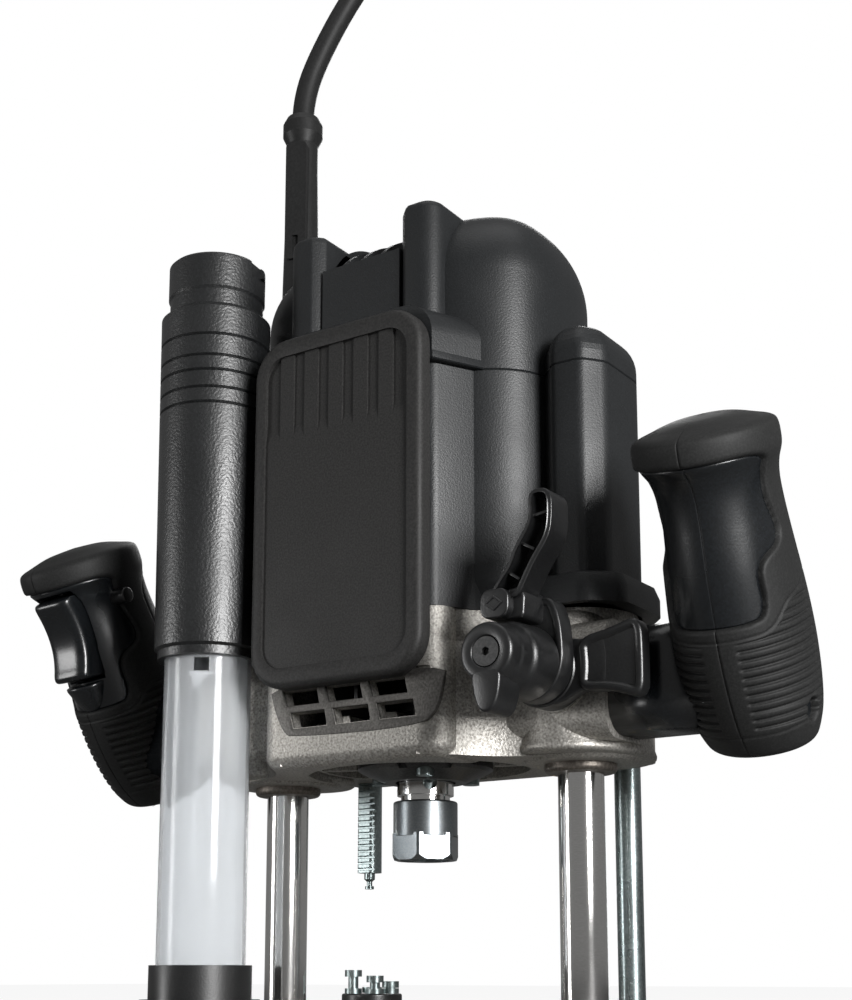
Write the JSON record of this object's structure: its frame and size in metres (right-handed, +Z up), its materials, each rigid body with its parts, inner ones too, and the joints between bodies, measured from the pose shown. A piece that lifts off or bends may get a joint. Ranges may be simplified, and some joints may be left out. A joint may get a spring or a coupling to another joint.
{
  "type": "plunge router",
  "caption": "Two-handle plunge router on twin columns, with a dust column, a geared depth stop, a threaded lift rod, a collet spindle and a mains lead.",
  "frame": {"origin": "on the spindle axis, at the underside of the sole plate", "axes": "+Z up along the spindle and the columns; +X along the line of the two columns, to the lever side; -Y is the front, with the cover"},
  "size_m": [0.3195, 0.325, 0.516],
  "materials": {
    "metallic_paint": "coarse metallic texture paint",
    "sole_laminate": "smooth black phenolic laminate",
    "polished_steel": "ground and polished",
    "zinc_steel": "bright zinc plate",
    "dark_steel": "black oxide",
    "blued_steel": "blued body with a bright ground hexagon",
    "spring_steel": "plain spring wire",
    "bush_metal": "sintered bronze, dull",
    "lamination": "stacked sheet",
    "housing_moulding": "fine spark texture",
    "cover_moulding": "bare matte panel",
    "black_moulding": "satin",
    "coarse_moulding": "coarse spark texture",
    "gloss_moulding": "half-gloss with a fine grain",
    "soft_rubber": "soft overmould",
    "cord_rubber": "satin rubber",
    "clear_plastic": "clear drawn tube",
    "board_green": "solder mask",
    "brass_pins": "nickel-free turned pins"
  },
  "bodies": {
    "base": {"sole_plate": "sole_laminate", "sole_screws": "zinc_steel", "base_casting": "metallic_paint", "column_left": "polished_steel", "column_right": "polished_steel", "return_spring_left": "spring_steel", "return_spring_right": "spring_steel", "extraction_spout": "black_moulding", "extraction_tube": "clear_plastic", "turret_pivot": "zinc_steel", "lift_rod": "zinc_steel", "cord": "cord_rubber", "cord_coil": "cord_rubber", "cord_tie": "black_moulding", "plug_body": "cord_rubber", "plug_pins": "brass_pins"},
    "adaptor": {"hose_adaptor": "coarse_moulding"},
    "turret": {"turret_stop": "black_moulding", "turret_screw_1": "zinc_steel", "turret_screw_2": "zinc_steel", "turret_screw_3": "zinc_steel"},
    "fence_screw_front": {"fence_screw_front": "black_moulding"},
    "fence_screw_rear": {"fence_screw_rear": "black_moulding"},
    "lift_nut": {"lift_nut": "black_moulding"},
    "carriage": {"carriage_casting": "metallic_paint", "bush_left": "bush_metal", "bush_right": "bush_metal", "motor_housing": "housing_moulding", "top_cap": "housing_moulding", "vent_grille": "housing_moulding", "front_cover": "cover_moulding", "bearing_cap": "dark_steel", "bearing_cap_screws": "zinc_steel", "bearing_lower": "zinc_steel", "bearing_upper": "zinc_steel", "stator": "lamination", "circuit_board": "board_green", "brush_holder_front": "black_moulding", "brush_holder_rear": "black_moulding", "handle_left": "gloss_moulding", "handle_right": "gloss_moulding", "grip_left": "soft_rubber", "grip_right": "soft_rubber", "lever_pin": "dark_steel", "cord_guard": "cord_rubber"},
    "rotor": {"spindle": "polished_steel", "armature": "lamination", "fan": "black_moulding", "collet": "zinc_steel", "collet_nut": "blued_steel"},
    "trigger": {"trigger": "gloss_moulding"},
    "lock_button": {"lock_button": "black_moulding"},
    "depth_lock_knob": {"depth_lock_knob": "black_moulding"},
    "select_lever": {"select_lever": "black_moulding"},
    "clamp_lever": {"clamp_lever": "black_moulding"},
    "depth_rod": {"depth_rod": "zinc_steel", "depth_tip": "zinc_steel"},
    "depth_knob": {"depth_knob": "black_moulding"},
    "speed_dial": {"speed_dial": "black_moulding"}
  },
  "joints": [
    {"name": "plunge", "type": "slide", "parent": "base", "child": "carriage", "axis": [0, 0, 1], "range_m": [-0.032, 0], "stiffness_N_per_m": 600, "springref_m": 0.17, "deforming": ["return_spring_left", "return_spring_right", "cord"]},
    {"name": "spindle_turn", "type": "hinge", "parent": "carriage", "child": "rotor", "pos_m": [0, 0, 0.1], "axis": [0, 0, 1], "continuous": true},
    {"name": "adaptor_turn", "type": "hinge", "parent": "base", "child": "adaptor", "pos_m": [-0.063, -0.05, 0.2], "axis": [0, 0, 1], "continuous": true},
    {"name": "turret_turn", "type": "hinge", "parent": "base", "child": "turret", "pos_m": [-0.0522, 0.0397, 0.03], "axis": [0, 0, 1], "continuous": true},
    {"name": "fence_screw_front_turn", "type": "hinge", "parent": "base", "child": "fence_screw_front", "pos_m": [0.035, -0.08, 0.017], "axis": [0, 1, 0], "range_deg": [-180, 180]},
    {"name": "fence_screw_rear_turn", "type": "hinge", "parent": "base", "child": "fence_screw_rear", "pos_m": [0.035, 0.08, 0.017], "axis": [0, 1, 0], "range_deg": [-180, 180]},
    {"name": "lift_nut_travel", "type": "slide", "parent": "base", "child": "lift_nut", "axis": [0, 0, 1], "range_m": [0, 0.04]},
    {"name": "trigger_squeeze", "type": "hinge", "parent": "carriage", "child": "trigger", "pos_m": [-0.13343, -0.0532, 0.17921], "axis": [0.9988, 0, 0.0489], "range_deg": [0, 7], "stiffness_Nm_per_rad": 0.6, "springref_deg": -14.32},
    {"name": "lock_button_press", "type": "slide", "parent": "carriage", "child": "lock_button", "axis": [-0.9988, 0, -0.0489], "range_m": [0, 0.002], "stiffness_N_per_m": 250, "springref_m": -0.006},
    {"name": "depth_lock_turn", "type": "hinge", "parent": "carriage", "child": "depth_lock_knob", "pos_m": [0.07, -0.06, 0.136], "axis": [0, 1, 0], "range_deg": [-110, 110]},
    {"name": "select_lever_turn", "type": "hinge", "parent": "carriage", "child": "select_lever", "pos_m": [0.07, -0.042, 0.136], "axis": [0, 1, 0], "range_deg": [-25, 25]},
    {"name": "clamp_lever_turn", "type": "hinge", "parent": "carriage", "child": "clamp_lever", "pos_m": [0.07, -0.033, 0.136], "axis": [0, 1, 0], "range_deg": [-25, 25]},
    {"name": "depth_rod_slide", "type": "slide", "parent": "carriage", "child": "depth_rod", "axis": [0, 0, 1], "range_m": [0, 0.05]},
    {"name": "depth_knob_turn", "type": "hinge", "parent": "carriage", "child": "depth_knob", "pos_m": [-0.07, 0.034, 0.134], "axis": [1, 0, 0], "range_deg": [0, 376]},
    {"name": "speed_dial_turn", "type": "hinge", "parent": "carriage", "child": "speed_dial", "pos_m": [0, 0.0535, 0.285], "axis": [0, 0, 1], "range_deg": [-135, 135]}
  ],
  "couplings": [
    {"joint": "depth_knob_turn", "follows": "depth_rod_slide", "rad_per_m": 130.72}
  ]
}
